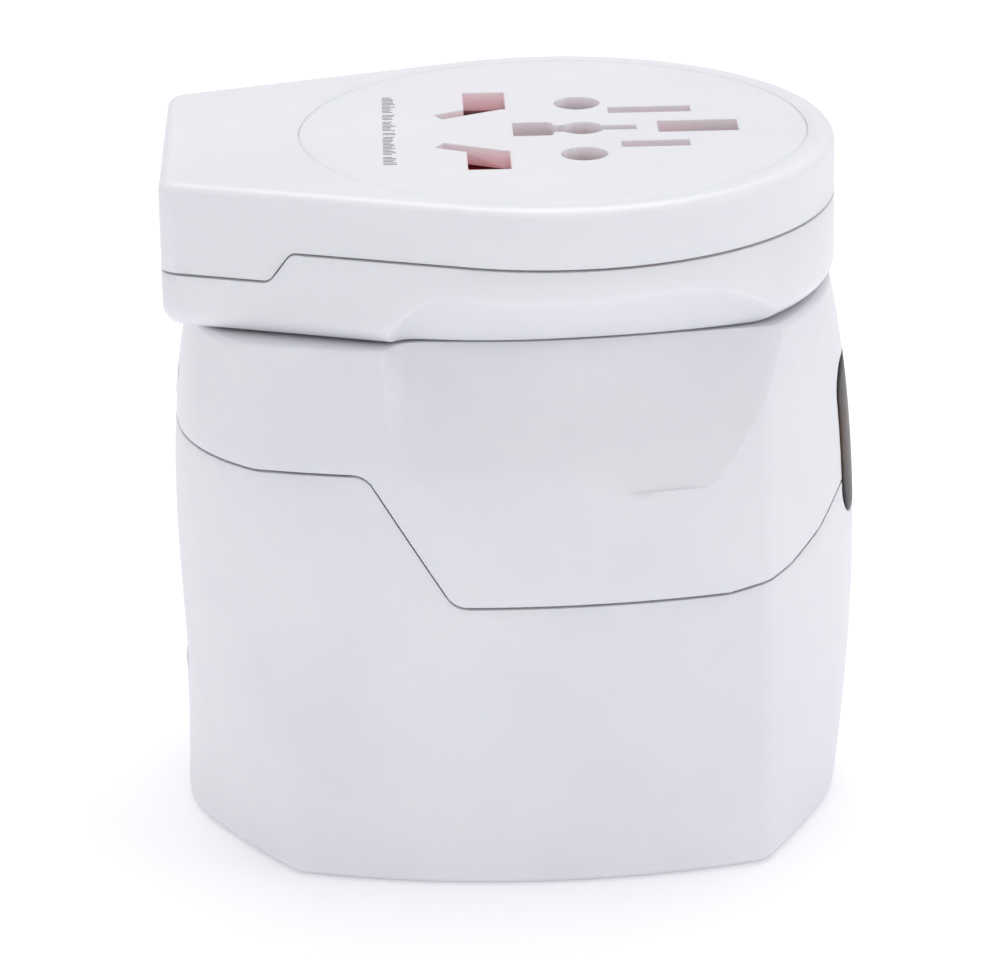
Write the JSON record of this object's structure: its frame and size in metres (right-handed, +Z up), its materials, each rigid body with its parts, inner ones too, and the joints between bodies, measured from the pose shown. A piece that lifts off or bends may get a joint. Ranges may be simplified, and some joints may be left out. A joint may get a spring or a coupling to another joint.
{
  "type": "universal travel adapter",
  "caption": "Block-shaped travel adapter with a pull-off multi-socket head on a round plug, two slide-out plug carriages, twisting blades, a shutter and a release button.",
  "frame": {"origin": "middle of the bounding box footprint, on the bottom face of the body", "axes": "+Z up through the multi-socket top face, +X towards the round end of the head, -X towards its wedge end, -Y is the face with the finger scoop"},
  "size_m": [0.0726, 0.059, 0.0738],
  "materials": {
    "white_shell": "satin",
    "white_head": "satin",
    "black_plastic": "satin",
    "black_gloss": "glossy",
    "red_plastic": "satin",
    "brass": "bare",
    "nickel": "nickel plated, satin",
    "steel": "zinc plated",
    "ceramic": "matte",
    "spring_steel": "bare"
  },
  "bodies": {
    "body": {"body_upper_shell": "white_shell", "body_lower_shell": "white_shell", "body_screws": "steel", "socket_cup": "black_plastic", "cup_sleeves": "brass", "cup_earth_clips": "nickel", "fuse_body": "ceramic", "fuse_caps": "nickel", "fuse_clips": "brass", "live_busbar": "brass", "fused_busbar": "brass", "neutral_busbar": "brass", "earth_busbar": "brass", "button_spring": "spring_steel"},
    "button": {"release_button": "black_gloss"},
    "three_pin_plug": {"uk_carriage": "black_plastic", "uk_line_neutral_pins": "nickel", "uk_earth_pin": "nickel", "uk_knob": "white_shell"},
    "two_blade_plug": {"us_carriage": "black_plastic", "us_retainer": "black_plastic", "us_knob": "white_shell"},
    "front_turret": {"turret_front": "black_plastic", "blade_front": "nickel"},
    "back_turret": {"turret_back": "black_plastic", "blade_back": "nickel"},
    "head": {"head_cover": "white_head", "socket_face": "white_head", "head_base": "white_head", "head_screws": "steel", "plug_insert": "black_plastic", "plug_pins": "nickel", "plug_earth_clips": "nickel", "live_contact": "brass", "neutral_contact": "brass", "earth_contact": "brass", "shutter_spring": "spring_steel"},
    "shutter_plate": {"shutter": "red_plastic"}
  },
  "joints": [
    {"name": "head_pull", "type": "slide", "parent": "body", "child": "head", "axis": [0, 0, 1], "range_m": [0, 0.04]},
    {"name": "shutter_slide", "type": "slide", "parent": "head", "child": "shutter_plate", "axis": [-1, 0, 0], "range_m": [0, 0.0056], "stiffness_N_per_m": 60, "springref_m": -0.002},
    {"name": "button_press", "type": "slide", "parent": "body", "child": "button", "axis": [-1, 0, 0], "range_m": [0, 0.001], "stiffness_N_per_m": 800, "springref_m": -0.001},
    {"name": "three_pin_slide", "type": "slide", "parent": "body", "child": "three_pin_plug", "axis": [0, 0, -1], "range_m": [0, 0.0235]},
    {"name": "two_blade_slide", "type": "slide", "parent": "body", "child": "two_blade_plug", "axis": [0, 0, -1], "range_m": [0, 0.019]},
    {"name": "front_blade_turn", "type": "hinge", "parent": "two_blade_plug", "child": "front_turret", "pos_m": [-0.0198, -0.00635, 0.0212], "axis": [0, 0, 1], "range_deg": [0, 30]},
    {"name": "back_blade_turn", "type": "hinge", "parent": "two_blade_plug", "child": "back_turret", "pos_m": [-0.0198, 0.00635, 0.0212], "axis": [0, 0, 1], "range_deg": [-30, 0]}
  ],
  "couplings": [
    {"joint": "back_blade_turn", "follows": "front_blade_turn", "ratio": -1}
  ]
}
